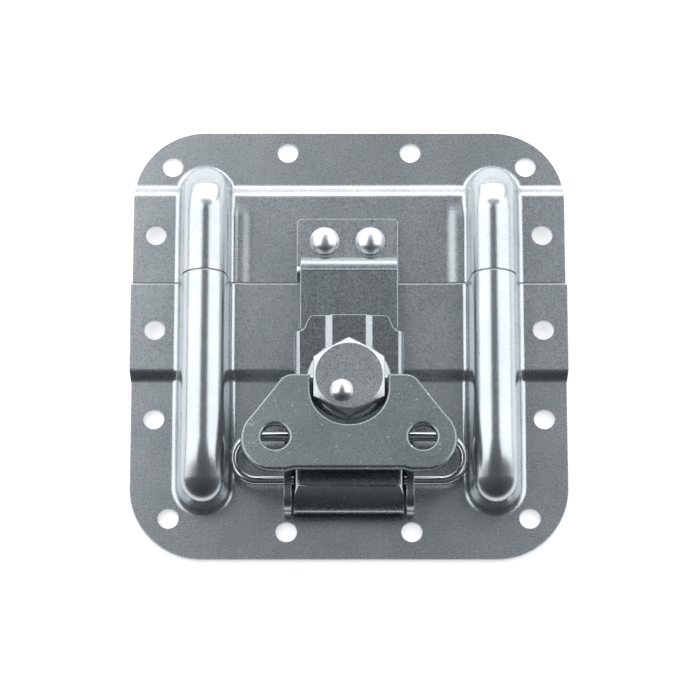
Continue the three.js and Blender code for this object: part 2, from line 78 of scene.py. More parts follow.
def deselectAll():
    if bpy.context.object and bpy.context.object.mode != "OBJECT":
        bpy.ops.object.mode_set(mode="OBJECT")
    bpy.ops.object.select_all(action="DESELECT")


def makeActive(piece):
    deselectAll()
    piece.select_set(True)
    bpy.context.view_layer.objects.active = piece


def editAll(piece):
    makeActive(piece)
    bpy.ops.object.mode_set(mode="EDIT")
    bpy.ops.mesh.select_all(action="SELECT")


def leaveEdit():
    bpy.ops.object.mode_set(mode="OBJECT")


def tidyMesh(piece, gap=1e-6):
    editAll(piece)
    bpy.ops.mesh.remove_doubles(threshold=gap)
    bpy.ops.mesh.normals_make_consistent(inside=False)
    leaveEdit()
    return piece


def loopOf(name, points):
    # a ring of vertices set on the outline, points in mm
    deselectAll()
    bpy.ops.mesh.primitive_circle_add(vertices=len(points), radius=1, fill_type="NOTHING")
    piece = bpy.context.object
    piece.name = name
    piece.data.name = name
    for vertex, point in zip(piece.data.vertices, points):
        vertex.co = Vector(point) * mm
    return piece


def blank(name, points, travel):
    # the outline filled and pushed along travel
    piece = loopOf(name, points)
    editAll(piece)
    bpy.ops.mesh.edge_face_add()
    bpy.ops.mesh.extrude_region_move(TRANSFORM_OT_translate={"value": Vector(travel) * mm})
    leaveEdit()
    return tidyMesh(piece)


def planBlank(name, points, bottom, top):
    return blank(name, [(x, y, bottom) for x, y in points], (0, 0, top - bottom))


def sideBlank(name, points, left, right):
    return blank(name, [(left, y, z) for y, z in points], (right - left, 0, 0))


def frontBlank(name, points, near, far):
    return blank(name, [(x, near, z) for x, z in points], (0, far - near, 0))


def spunBlank(name, profile, x, y, steps=64):
    # profile of (radius, z) from the axis round to the axis, spun about a vertical through x, y
    piece = loopOf(name, [(x + r, y, z) for r, z in profile])
    editAll(piece)
    bpy.ops.mesh.spin(steps=steps, angle=2 * math.pi, center=(x * mm, y * mm, 0), axis=(0, 0, 1))
    bpy.ops.mesh.remove_doubles(threshold=1e-7)
    bpy.ops.mesh.dissolve_degenerate(threshold=1e-7)
    bpy.ops.mesh.delete_loose()
    leaveEdit()
    return tidyMesh(piece)


def rod(name, start, end, radius, vertices=40):
    a, b = Vector(start) * mm, Vector(end) * mm
    deselectAll()
    bpy.ops.mesh.primitive_cylinder_add(vertices=vertices, radius=radius * mm, depth=(b - a).length)
    piece = bpy.context.object
    piece.name = name
    turn = (b - a).to_track_quat("Z", "Y").to_matrix().to_4x4()
    piece.data.transform(Matrix.Translation((a + b) / 2) @ turn)
    return piece


def brick(name, low, high):
    deselectAll()
    bpy.ops.mesh.primitive_cube_add(size=1)
    piece = bpy.context.object
    piece.name = name
    for vertex in piece.data.vertices:
        vertex.co = Vector([(l if c < 0 else h) * mm for c, l, h in zip(vertex.co, low, high)])
    return piece


def applyModifier(piece, kind, **settings):
    makeActive(piece)
    modifier = piece.modifiers.new(kind.lower(), kind)
    for key, value in settings.items():
        setattr(modifier, key, value)
    bpy.ops.object.modifier_apply(modifier=modifier.name)
    return piece


def combine(piece, tool, operation):
    applyModifier(piece, "BOOLEAN", object=tool, operation=operation, solver="EXACT")
    bpy.data.objects.remove(tool, do_unlink=True)
    return piece


def cut(piece, tool):
    return combine(piece, tool, "DIFFERENCE")


def join(piece, tool):
    return combine(piece, tool, "UNION")


def keep(piece, tool):
    return combine(piece, tool, "INTERSECT")


def finishEdges(piece, width, segments=3, angle=34, smooth=36):
    # rounds the sharp edges and shades by angle, wide faces leading
    editAll(piece)
    bpy.ops.mesh.remove_doubles(threshold=2e-6)
    bpy.ops.mesh.dissolve_limited(angle_limit=math.radians(0.4))
    leaveEdit()
    if width:
        applyModifier(
            piece, "BEVEL", width=width * mm, segments=segments, limit_method="ANGLE",
            angle_limit=math.radians(angle), use_clamp_overlap=False, miter_outer="MITER_ARC",
        )
    makeActive(piece)
    bpy.ops.object.shade_smooth_by_angle(angle=math.radians(smooth))
    applyModifier(piece, "WEIGHTED_NORMAL", keep_sharp=True, weight=60)
    return piece


def placePiece(piece, body, slot, finish, *nodes):
    piece.data.materials.clear()
    piece.data.materials.append(finish)
    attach(piece, body)
    if nodes:
        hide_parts(*nodes)
    return piece


def arc(cx, cy, radius, start, end, steps):
    turns = [math.radians(start + (end - start) * i / steps) for i in range(steps + 1)]
    return [(cx + radius * math.cos(a), cy + radius * math.sin(a)) for a in turns]


def ease(t):
    t = min(1, max(0, t))
    return 0.5 - 0.5 * math.cos(math.pi * t)


# shader maths

class Wire:
    # a shader socket that can be added, multiplied and so on
    def __init__(self, tree, socket):
        self.tree = tree
        self.socket = socket

    def maths(self, operation, *values):
        return node(self.tree, "ShaderNodeMath", {"operation": operation}, list(values))

    def __add__(self, other):
        return self.maths("ADD", self, other)

    def __radd__(self, other):
        return self.maths("ADD", other, self)

    def __sub__(self, other):
        return self.maths("SUBTRACT", self, other)

    def __rsub__(self, other):
        return self.maths("SUBTRACT", other, self)

    def __mul__(self, other):
        return self.maths("MULTIPLY", self, other)

    def __rmul__(self, other):
        return self.maths("MULTIPLY", other, self)


def node(tree, kind, settings=None, inputs=None, output=0):
    made = tree.nodes.new(kind)
    for key, value in (settings or {}).items():
        if key == "stops":
            ramp = made.color_ramp
            while len(ramp.elements) < len(value):
                ramp.elements.new(0.5)
            for element, (place, colour) in zip(ramp.elements, value):
                element.position = place
                element.color = (*colour, 1) if len(colour) == 3 else colour
        else:
            setattr(made, key, value)
    pairs = inputs.items() if isinstance(inputs, dict) else enumerate(inputs or [])
    for key, value in pairs:
        if isinstance(value, Wire):
            tree.links.new(value.socket, made.inputs[key])
        else:
            made.inputs[key].default_value = value
    return Wire(tree, made.outputs[output])


def objectPoint(tree, scale=(1, 1, 1)):
    place = node(tree, "ShaderNodeTexCoord", output=3)
    return node(tree, "ShaderNodeMapping", None, {"Vector": place, "Scale": scale})


def noise(tree, point, scale, detail=3, roughness=0.55):
    settings = {"noise_dimensions": "3D"}
    return node(tree, "ShaderNodeTexNoise", settings,
                {"Vector": point, "Scale": scale, "Detail": detail, "Roughness": roughness})


def spread(tree, value, low, high, outLow, outHigh):
    return node(tree, "ShaderNodeMapRange", {"interpolation_type": "SMOOTHSTEP"},
                [value, low, high, outLow, outHigh])


def mixColour(tree, factor, first, second):
    made = tree.nodes.new("ShaderNodeMix")
    made.data_type = "RGBA"
    for key, value in ((0, factor), (6, first), (7, second)):
        if isinstance(value, Wire):
            tree.links.new(value.socket, made.inputs[key])
        else:
            made.inputs[key].default_value = value if key == 0 else (*value, 1)
    return Wire(tree, made.outputs[2])


def newMaterial(name):
    material = bpy.data.materials.new(name)
    material.use_nodes = True
    tree = material.node_tree
    tree.nodes.clear()
    return material, tree


def closeMaterial(tree, shader):
    out = tree.nodes.new("ShaderNodeOutputMaterial")
    tree.links.new(shader.socket, out.inputs["Surface"])


# finishes

def zincFinish(name, look):
    # plated steel: fine crystal grain, broad cloudiness and a pull direction
    material, tree = newMaterial(name)
    still = objectPoint(tree)
    pulled = objectPoint(tree, look["pull"])
    grain = noise(tree, still, look["grain"], 4, 0.65)
    cloud = noise(tree, still, 70, 3, 0.5)
    streak = noise(tree, pulled, 900, 4, 0.6)
    speck = noise(tree, still, look["grain"] * 0.45, 2, 0.5)
    tone = spread(tree, grain, 0.30, 0.72, 0, 0.65) + spread(tree, cloud, 0.35, 0.68, 0, 0.35)
    colour = mixColour(tree, tone, look["dark"], look["light"])
    colour = mixColour(tree, spread(tree, speck, 0.66, 0.74, 0, look["specks"]), colour, look["spark"])
    rough = look["rough"] + spread(tree, grain, 0.35, 0.65, -1, 1) * look["roughGrain"]
    rough = rough + spread(tree, streak, 0.3, 0.7, -1, 1) * look["roughPull"]
    if "polish" in look:
        place = node(tree, "ShaderNodeTexCoord", output=3)
        split = tree.nodes.new("ShaderNodeSeparateXYZ")
        tree.links.new(place.socket, split.inputs[0])
        low, high, amount = look["polish"]
        rough = rough - spread(tree, Wire(tree, split.outputs[2]), low * mm, high * mm, 0, amount)
    height = grain * look["grainDepth"] + streak * look["pullDepth"]
    bump = node(tree, "ShaderNodeBump", None,
                {"Strength": look["bump"], "Distance": 0.00004, "Height": height})
    shader = node(tree, "ShaderNodeBsdfPrincipled", None,
                  {"Base Color": colour, "Metallic": look["metal"], "Roughness": rough, "Normal": bump})
    closeMaterial(tree, shader)
    return material


looks = {
    "dish": {
        "dark": (0.42, 0.455, 0.475), "light": (0.56, 0.59, 0.61), "spark": (0.78, 0.80, 0.81),
        "metal": 0.95, "specks": 0.2, "grain": 2600, "rough": 0.29, "roughGrain": 0.035, "roughPull": 0.0,
        "polish": (4.5, 9.0, 0.06), "grainDepth": 0.8, "pullDepth": 0.03, "bump": 0.22,
        "pull": (1, 0.03, 1),
    },
    "keeper": {
        "dark": (0.40, 0.43, 0.45), "light": (0.52, 0.55, 0.57), "spark": (0.80, 0.82, 0.83),
        "metal": 0.9, "specks": 0.3, "grain": 2600, "rough": 0.30, "roughGrain": 0.05, "roughPull": 0.02,
        "grainDepth": 0.7, "pullDepth": 0.2, "bump": 0.25, "pull": (1, 0.04, 1),
    },
    "strap": {
        "dark": (0.28, 0.31, 0.325), "light": (0.38, 0.41, 0.43), "spark": (0.70, 0.72, 0.73),
        "metal": 0.94, "specks": 0.4, "grain": 2600, "rough": 0.28, "roughGrain": 0.05, "roughPull": 0.02,
        "grainDepth": 0.8, "pullDepth": 0.2, "bump": 0.25, "pull": (1, 0.04, 1),
    },
    "cover": {
        "dark": (0.29, 0.32, 0.335), "light": (0.39, 0.42, 0.44), "spark": (0.70, 0.72, 0.73),
        "metal": 0.95, "specks": 0.35, "grain": 2600, "rough": 0.24, "roughGrain": 0.05, "roughPull": 0.02,
        "grainDepth": 0.7, "pullDepth": 0.15, "bump": 0.2, "pull": (0.05, 1, 1),
    },
    "wing": {
        "dark": (0.19, 0.212, 0.224), "light": (0.28, 0.305, 0.318), "spark": (0.80, 0.82, 0.83),
        "metal": 0.93, "specks": 0.5, "grain": 2600, "rough": 0.30, "roughGrain": 0.04, "roughPull": 0.0,
        "grainDepth": 0.9, "pullDepth": 0.02, "bump": 0.25, "pull": (0.05, 1, 1),
    },
    "rotor": {
        "dark": (0.36, 0.385, 0.40), "light": (0.58, 0.61, 0.63), "spark": (0.85, 0.87, 0.88),
        "metal": 0.9, "specks": 0.5, "grain": 2400, "rough": 0.32, "roughGrain": 0.05, "roughPull": 0.0,
        "grainDepth": 0.9, "pullDepth": 0.02, "bump": 0.4, "pull": (1, 1, 0.05),
    },
    "rivet": {
        "dark": (0.66, 0.68, 0.70), "light": (0.76, 0.77, 0.78), "spark": (0.90, 0.90, 0.90),
        "metal": 1.0, "specks": 0.1, "grain": 1800, "rough": 0.31, "roughGrain": 0.03, "roughPull": 0.01,
        "grainDepth": 0.3, "pullDepth": 0.1, "bump": 0.1, "pull": (1, 1, 0.05),
    },
    "spring": {
        "dark": (0.54, 0.57, 0.59), "light": (0.68, 0.70, 0.72), "spark": (0.88, 0.89, 0.90),
        "metal": 1.0, "specks": 0.1, "grain": 2000, "rough": 0.14, "roughGrain": 0.03, "roughPull": 0.03,
        "grainDepth": 0.3, "pullDepth": 0.4, "bump": 0.15, "pull": (0.04, 1, 1),
    },
}
finishes = {key: zincFinish(key + "Zinc", look) for key, look in looks.items()}
print("finishes ready")


# pressed dish halves

dish = {
    "sheet": 1.2, "corner": 18.5, "rise": 2.0, "topY": 38.65, "topRun": 4.5, "lowY": -7.5, "lowRun": 3.3,
    "ribX": 36.9, "ribTopY": 40.3, "ribLowY": -38.4, "crest": 15.2, "round": 5.8, "draft": 83,
    "foot": 1.5, "reach": 8.3, "hole": 2.55, "edge": 0.2,
    "domeStart": 9.0, "domeRun": 17.0, "lidDrop": 0.5, "baseDrop": 0.32,
    "bandStart": 24.6, "bandEnd": 28.4, "bandLift": 0.5, "bandFade": 5, "bandGap": 0.5, "bandSide": 2.2,
    "softRows": (5.5, 4.5, 3.5, 2.5, 1.5),
    # holes measured in from the dish's side and end, the edge pair out from its middle
    "lidHoles": {
        "cornerIn": (9.9, 9.4), "edgeX": 15.85, "edgeIn": 5.5, "sideIn": 5.9, "sideY": (28.4,),
    },
    "baseHoles": {
        "cornerIn": (9.9, 10.6), "edgeX": 15.85, "edgeIn": 7.05, "sideIn": 5.9, "sideY": (2.8, -20.4),
    },
}


def stripHeight(y):
    upper = ease((dish["topY"] + dish["topRun"] - y) / dish["topRun"])
    lower = ease((y - dish["lowY"] + dish["lowRun"]) / dish["lowRun"])
    return dish["sheet"] + dish["rise"] * min(upper, lower)


def bandHeight(x, y, side):
    # a soft lift beside each rib on the lid half, fading out at the ramp
    if side < 0:
        return 0
    across = ease((abs(x) - dish["bandStart"]) / (dish["bandEnd"] - dish["bandStart"]))
    fade = ease((dish["topY"] - dish["bandGap"] - y) / dish["bandFade"])
    return dish["bandLift"] * across * fade if abs(x) < dish["ribX"] else 0


def ribProfile(floor):
    # distance from the rib's centre line and height, crest to flange
    draft = math.radians(dish["draft"])
    radius, foot = dish["round"], dish["foot"]
    middle = dish["crest"] - radius
    turns = [draft * i / 16 for i in range(17)]
    points = [(radius * math.sin(a), middle + radius * math.cos(a)) for a in turns]
    lastD, lastZ = points[-1]
    startZ = floor + foot - foot * math.cos(draft)
    startD = lastD + (lastZ - startZ) / math.tan(draft)
    for i in range(1, 4):
        t = i / 4
        points.append((lastD + (startD - lastD) * t, lastZ + (startZ - lastZ) * t))
    centreD = startD + foot * math.sin(draft)
    for i in range(9):
        a = draft * (1 - i / 8)
        points.append((centreD - foot * math.sin(a), floor + foot - foot * math.cos(a)))
    points.append((dish["reach"], floor))
    return points


def rampStations(side):
    if side > 0:
        return [dish["topY"] + dish["topRun"] * i / 10 for i in range(11)]
    return [dish["lowY"] - dish["lowRun"] * i / 10 for i in range(11)]


def softStations(side):
    if side > 0:
        return [dish["topY"] - k for k in dish["softRows"]]
    return []


def ribStations(x, side, seam, end):
    # stations round one rib from the seam, past its round end, back to the seam
    straight = [seam]
    level = [y for y in softStations(side) + rampStations(side) if (y - end) * side < 0]
    dome = end - side * dish["domeStart"]
    fill = [seam + (dome - seam) * i / 4 for i in range(1, 5)]
    fill += [dome + (end - dome) * i / 9 for i in range(1, 9)]
    spaced = [y for y in fill if all(abs(y - k) > 0.6 for k in level)]
    straight += sorted(spaced + level, key=lambda y: y * side)
    turns = {math.radians(180 * i / 36) for i in range(37)}
    for y in rampStations(side):
        share = (y - end) * side / dish["reach"]
        if 0 < share < 1:
            exact = [math.asin(share), math.pi - math.asin(share)]
            turns = {t for t in turns if all(abs(t - e) > 0.02 for e in exact)} | set(exact)
    stations = [(x, y, 1, 0) for y in straight]
    stations += [(x, end, math.cos(t), side * math.sin(t)) for t in sorted(turns)]
    stations += [(x, y, -1, 0) for y in reversed(straight)]
    return stations


def ribSkin(name, stations, side, end):
    # a grid bent over the rib: one row per station, one column per profile point
    drop = dish["lidDrop"] if side > 0 else dish["baseDrop"]
    rows = []
    for bx, by, ux, uy in stations:
        floor = stripHeight(by + uy * dish["reach"])
        row = []
        for d, z in ribProfile(floor):
            px, py = bx + ux * d, by + uy * d
            past = (py - end) * side + dish["domeStart"]
            z = floor + (z - floor) * (1 - drop * ease(past / dish["domeRun"]))
            lift = bandHeight(px, py, side) * ease((d - dish["reach"] + dish["bandSide"]) / dish["bandSide"])
            row.append((px, py, z + lift))
        rows.append(row)
    deselectAll()
    bpy.ops.mesh.primitive_grid_add(x_subdivisions=len(rows[0]) - 1, y_subdivisions=len(rows) - 1, size=2)
    piece = bpy.context.object
    piece.name = name
    wide = len(rows[0])
    for i, vertex in enumerate(piece.data.vertices):
        vertex.co = Vector(rows[i // wide][i % wide]) * mm
    editAll(piece)
    bpy.ops.mesh.remove_doubles(threshold=1e-7)
    bpy.ops.mesh.dissolve_degenerate(threshold=1e-7)
    leaveEdit()
    return piece


def dishOutline(side, low, high, seam):
    half = max(abs(lidLow[0]), lidHigh[0])
    wide = max(abs(low[0]), high[0])
    end = high[1] if side > 0 else low[1]
    ribEnd = dish["ribTopY"] if side > 0 else dish["ribLowY"]
    corner = dish["corner"]
    centreY = end - side * corner
    outer = []
    for x in (dish["ribX"], -dish["ribX"]):
        reach = [(bx + ux * dish["reach"], by + uy * dish["reach"]) for bx, by, ux, uy
                 in ribStations(x, side, seam, ribEnd)]
        outer.append(reach)
    points = [(wide, seam)] + outer[0] + outer[1] + [(-wide, seam)]
    if side < 0:
        points += [(-wide, dish["lowY"]), (-half, dish["lowY"] - dish["lowRun"])]
    turn = arc(half - corner, 0, corner, 0, 90, 18)
    points += [(-x, centreY + side * y) for x, y in turn]
    points += [(x, centreY + side * y) for x, y in reversed(turn)]
    if side < 0:
        points += [(half, dish["lowY"] - dish["lowRun"]), (wide, dish["lowY"])]
    return points


def rivetHoles(side, half, end):
    place = dish["lidHoles"] if side > 0 else dish["baseHoles"]
    inX, inY = place["cornerIn"]
    holes = [(half - inX, end - side * inY), (place["edgeX"], end - side * place["edgeIn"])]
    holes += [(half - place["sideIn"], y) for y in place["sideY"]]
    return [(x * mirror, y) for x, y in holes for mirror in (-1, 1)]


def turnUp(piece):
    # an open skin gets its faces pointing up
    editAll(piece)
    bpy.ops.mesh.normals_make_consistent(inside=False)
    leaveEdit()
    if sum(face.normal.z * face.area for face in piece.data.polygons) < 0:
        editAll(piece)
        bpy.ops.mesh.flip_normals()
        leaveEdit()


def dishHalf(name, side, low, high, body, cadNode):
    seam = low[1] if side > 0 else high[1]
    ribEnd = dish["ribTopY"] if side > 0 else dish["ribLowY"]
    half = lidHigh[0]
    end = high[1] if side > 0 else low[1]
    sheet = loopOf(name, [(x, y, 0) for x, y in dishOutline(side, low, high, seam)])
    editAll(sheet)
    bpy.ops.mesh.fill(use_beauty=True)
    cuts = [((0, y, 0), (0, 1, 0)) for y in rampStations(side) + softStations(side)]
    lines = [dish["bandStart"] + (dish["bandEnd"] - dish["bandStart"]) * i / 5 for i in range(6)]
    cuts += [((mirror * x, 0, 0), (1, 0, 0)) for x in lines for mirror in (-1, 1) if side > 0]
    for place, normal in cuts:
        bpy.ops.mesh.select_all(action="SELECT")
        bpy.ops.mesh.bisect(plane_co=Vector(place) * mm, plane_no=normal, threshold=1e-6)
    leaveEdit()
    turnUp(sheet)
    for vertex in sheet.data.vertices:
        x, y = vertex.co.x / mm, vertex.co.y / mm
        vertex.co.z = (stripHeight(y) + bandHeight(x, y, side)) * mm
    skins = []
    for x in (dish["ribX"], -dish["ribX"]):
        skins.append(ribSkin(name + "Rib", ribStations(x, side, seam, ribEnd), side, ribEnd))
    makeActive(sheet)
    for skin in skins:
        skin.select_set(True)
    bpy.ops.object.join()
    editAll(sheet)
    bpy.ops.mesh.remove_doubles(threshold=3e-6)
    leaveEdit()
    turnUp(sheet)
    applyModifier(
        sheet, "SOLIDIFY", thickness=dish["sheet"] * mm, offset=-1, use_even_offset=True, use_rim=True,
    )
    for x, y in rivetHoles(side, half, end):
        cut(sheet, rod("rivetHole", (x, y, -3), (x, y, 9), dish["hole"], 48))
    editAll(sheet)
    bpy.ops.mesh.remove_doubles(threshold=5e-6)
    bpy.ops.mesh.dissolve_limited(angle_limit=math.radians(0.3))
    leaveEdit()
    applyModifier(
        sheet, "BEVEL", width=dish["edge"] * mm, segments=2, limit_method="ANGLE",
        angle_limit=math.radians(60), use_clamp_overlap=False,
    )
    makeActive(sheet)
    bpy.ops.object.shade_smooth_by_angle(angle=math.radians(35))
    applyModifier(sheet, "WEIGHTED_NORMAL", keep_sharp=True, weight=70)
    return placePiece(sheet, body, "dish_zinc", finishes["dish"], cadNode)


dishHalf("lidPlate", 1, lidLow, lidHigh, "lid_half", "upper_dish")
dishHalf("basePlate", -1, baseLow, baseHigh, "base_half", "lower_dish")
print("dish halves pressed")


def bendBead(y, z):
    # the fine raised line that a press leaves where a bend starts
    return [(y, z), (y + 0.16, z + 0.07), (y + 0.32, z + 0.11), (y + 0.48, z + 0.07), (y + 0.66, z)]


# keeper

keeper = {
    "sheet": 1.6, "corner": 1.4, "edge": 0.18, "rivetX": 5.85, "rivetY": 26.2, "head": 3.8, "dome": 2.2,
    "bendY": 1.75, "bendBack": 0.45, "bendRound": 1.25,
    # outline of the raised lip: along from the bend, then up from the lip's top or from the plate's face
    "lipTop": [(-0.85, -0.35), (-0.6, -0.08), (-0.3, 0), (0.1, 0), (1.4, -0.55), (1.35, -0.85)],
    "lipRoot": [(0.3, 0.28), (0.35, 0)],
    "shank": 1.9, "tail": [(0, -2.3), (2.3, -2.3), (2.9, -1.9), (2.9, -1.25), (1.9, -1.2)],
}


def domeProfile(radius, height, seat, tuck):
    # a domed head on a small collar, from the axis underneath to the axis on top
    sphere = (radius * radius + height * height) / (2 * height)
    full = math.asin(min(1, radius / sphere))
    points = [(0, seat), (radius - 0.15, seat), (radius, seat + tuck * 0.4), (radius, seat + tuck)]
    for i in range(1, 14):
        a = full * (1 - i / 14)
        points.append((sphere * math.sin(a), seat + tuck + height - sphere + sphere * math.cos(a)))
    points.append((0, seat + tuck + height))
    return points


def makeKeeper():
    base = keeperLow[2]
    face = base + keeper["sheet"]
    lip = keeperHigh[2]
    bend = keeperLow[1] + keeper["bendY"]
    back, radius = keeper["bendBack"], keeper["bendRound"]
    profile = [(keeperHigh[1], base), (bend - back, base)]
    for i in range(1, 6):
        a = math.radians(270 - 90 * i / 6)
        profile.append((bend - back + radius * math.cos(a), base + radius + radius * math.sin(a)))
    profile.append((bend - back - radius, face - 0.1))
    profile += [(bend + y, lip + z) for y, z in keeper["lipTop"]]
    profile += [(bend + y, face + z) for y, z in keeper["lipRoot"]]
    profile.append((keeperHigh[1], face))
    plate = sideBlank("keeperPlate", profile, keeperLow[0], keeperHigh[0])
    corner = keeper["corner"]
    left, right, top = keeperLow[0], keeperHigh[0], keeperHigh[1]
    plan = [(left - 1, keeperLow[1] - 2), (right + 1, keeperLow[1] - 2)]
    plan += [(right + 1, top - 8), (right, top - 8)]
    plan += arc(right - corner, top - corner, corner, 0, 90, 8)
    plan += arc(left + corner, top - corner, corner, 90, 180, 8)
    plan += [(left, top - 8), (left - 1, top - 8)]
    keep(plate, planBlank("keeperPlan", plan, 0, 20))
    finishEdges(plate, keeper["edge"])
    placePiece(plate, "lid_half", "keeper_zinc", finishes["keeper"], "keeper_hook")
    dome = domeProfile(keeper["head"], keeper["dome"], face, 0.25)
    shank = [(r, base + z) for r, z in keeper["tail"]] + [(keeper["shank"], face + 0.3), (0, face + 0.3)]
    for mirror, label in ((-1, "left"), (1, "right")):
        x = keeperX + mirror * keeper["rivetX"]
        head = spunBlank("keeperRivet" + label.title(), dome, x, keeper["rivetY"])
        join(head, spunBlank("keeperShank", shank, x, keeper["rivetY"], 40))
        finishEdges(head, 0)
        placePiece(head, "lid_half", "rivet_nickel", finishes["rivet"], "keeper_rivet_" + label)


makeKeeper()
print("keeper made")


# hook strap

strap = {"sheet": 1.6, "bend": 4.4, "narrow": 12.1, "shoulderY": 1.3, "edge": 0.3, "window": 2.2}


def makeStrap():
    top = strapHigh[2]
    bend = strap["bend"]
    inner = bend - strap["sheet"]
    centreY = strapHigh[1] - bend
    centreZ = top - bend
    stop = math.degrees(math.asin((strapLow[2] - centreZ) / bend))
    profile = [(strapLow[1], top - strap["sheet"])]
    profile += reversed(arc(centreY, centreZ, inner, stop, 90, 14))
    profile += arc(centreY, centreZ, bend, stop, 88.5, 18)
    profile += reversed(bendBead(centreY - 0.66, top))
    profile += [(strapLow[1], top)]
    piece = sideBlank("hookStrap", profile, strapLow[0], strapHigh[0])
    wide, narrow, shoulder = strapHigh[0], strap["narrow"], strap["shoulderY"]
    tip = strapHigh[1]
    right = [(narrow, strapLow[1] - 1), (narrow, shoulder), (wide + 0.1, shoulder + 0.5)]
    right += [(wide + 0.1, tip - 2.2), (wide - 0.7, tip + 1)]
    plan = right + [(-x, y) for x, y in reversed(right)]
    keep(piece, planBlank("strapPlan", plan, 0, 20))
    reach = math.hypot(crankX, crankY - rotorY)
    gap = strap["window"]
    low = (crankX - gap, rotorY - 1.45 * reach - gap, 0)
    high = (reach + gap, crankY + gap, 20)
    cut(piece, brick("strapWindow", low, high))
    finishEdges(piece, strap["edge"])
    placePiece(piece, "strap", "strap_zinc", finishes["strap"], "hook_strap")


makeStrap()
print("strap made")


# latch cover

cover = {
    "sheet": 1.3, "bend": 1.7, "edge": 0.28, "endY": 0.4,
    "nose": 7.3, "noseStart": 14, "noseEnd": 52, "tuck": (62, 74, 86), "tuckStep": 0.35,
    "boss": 0.8, "bossRadius": 10.5, "band": 5.8, "flank": 1.4, "bore": 7.5,
    "skirt": 1.4, "skirtEnd": 3.6, "notch": 2.2, "notchEnd": 4.6, "wireRoom": 0.4, "underWire": 1.6,
    "tongueIn": 2.6, "tongueTaper": 1.4,
}


def keyhole(name, radius, band, low, high, far):
    flank = cover["flank"]
    rim = [(0, low - 0.6), (radius, low - 0.6), (radius, low), (radius - flank, high), (0, high)]
    disc = spunBlank(name, rim, 0, rotorY, 96)
    bar = [(-band, low - 0.6), (band, low - 0.6), (band, low)]
    bar += [(band - flank, high), (flank - band, high), (-band, low)]
    return join(disc, frontBlank(name + "Bar", bar, rotorY, far))


def noseCurve(top):
    # the front falls away in a long shallow curve and tucks in at the bottom
    y, z, steps = 0, top, 24
    points = []
    for i in range(steps):
        slope = math.radians(cover["noseStart"] + (cover["noseEnd"] - cover["noseStart"]) * i / (steps - 1))
        y -= cover["nose"] / steps * math.cos(slope)
        z -= cover["nose"] / steps * math.sin(slope)
        points.append((y, z))
    for slope in cover["tuck"]:
        y -= cover["tuckStep"] * math.cos(math.radians(slope))
        z -= cover["tuckStep"] * math.sin(math.radians(slope))
        points.append((y, z))
    points.append((y, z - 0.5))
    shift = coverLow[1] - y
    return [(a + shift, b) for a, b in points]


def wireHole(name, half):
    return rod(name, (-half - 1, hingeY, hingeZ), (half + 1, hingeY, hingeZ), wireRadius + 0.15, 32)


def makeCover():
    top = coverHigh[2] - cover["boss"]
    under = top - cover["sheet"]
    half = coverHigh[0]
    tongue = coverHigh[1]
    end = cover["endY"]
    nose = noseCurve(top)
    noseY = nose[0][0] - 0.02
    skirt = strapHigh[2] - strap["sheet"] - cover["skirt"]
    upperWire = ringHigh[1] - wireRadius
    notch = hingeZ + wireRadius + cover["wireRoom"]
    wireUnder = hingeZ - cover["underWire"]
    side = [(tongue + 1, top), (tongue + 1, under), (end, under), (end, skirt)]
    side += [(upperWire + cover["skirtEnd"], skirt), (upperWire + cover["notch"], notch)]
    side += [(upperWire - cover["notch"], notch), (upperWire - cover["notchEnd"], wireUnder)]
    side += [(hingeY - 0.7, wireUnder)] + nose[::-1] + bendBead(noseY, top)
    piece = sideBlank("latchCover", side, -half, half)
    bend = cover["bend"]
    front = [(-half, -5), (half, -5)] + arc(half - bend, top - bend, bend, 0, 90, 10)
    front += arc(-half + bend, top - bend, bend, 90, 180, 10)
    keep(piece, frontBlank("coverFront", front, -60, tongue + 1))
    inner = half - cover["sheet"]
    hollow = [(end + 9, under), (end + 9, -5), (nose[-1][0] + cover["sheet"], -5)]
    hollow += [(y + cover["sheet"] * 0.8, z - cover["sheet"] * 0.95) for y, z in reversed(nose[:-4])]
    cut(piece, sideBlank("coverHollow", hollow, -inner, inner))
    root = half - cover["tongueIn"]
    tip = root - cover["tongueTaper"]
    right = [(half + 1, -60), (half + 1, end), (root + 0.9, end)]
    right += [(root + 0.45, end + 0.25), (root, end + 0.9), (tip + 0.55, tongue - 1.15)]
    right += [(tip + 0.2, tongue - 0.45), (tip - 0.5, tongue)]
    plan = right + [(-x, y) for x, y in reversed(right)]
    radius, band, boss = cover["bossRadius"], cover["band"], cover["boss"]
    join(piece, keyhole("coverBoss", radius, band, top, top + boss, tongue + 1))
    cut(piece, keyhole("bossUnder", radius - 0.5, band - 0.5, under, under + boss, tongue + 2))
    keep(piece, planBlank("coverPlan", plan, -5, 30))
    cut(piece, rod("coverBore", (0, rotorY, 0), (0, rotorY, 30), cover["bore"], 80))
    cut(piece, wireHole("coverPinHole", half))
    finishEdges(piece, cover["edge"], angle=28, smooth=32)
    placePiece(piece, "cover", "cover_zinc", finishes["cover"], "latch_cover")


makeCover()
print("cover made")


# hinge bracket and its rivets

bracket = {
    "sheet": 2.0, "nose": 5.0, "edge": 0.2,
    # the ears' sloping end: along from the hinge, then up from the ears' top
    "earFoot": 8.2, "earEnd": [(5.75, -0.9), (5.3, -0.3), (4.6, 0)],
    "rivetX": 8.0, "rivetY": (-22.0, -34.6), "head": 2.5, "dome": 0.6, "shank": 1.35,
}


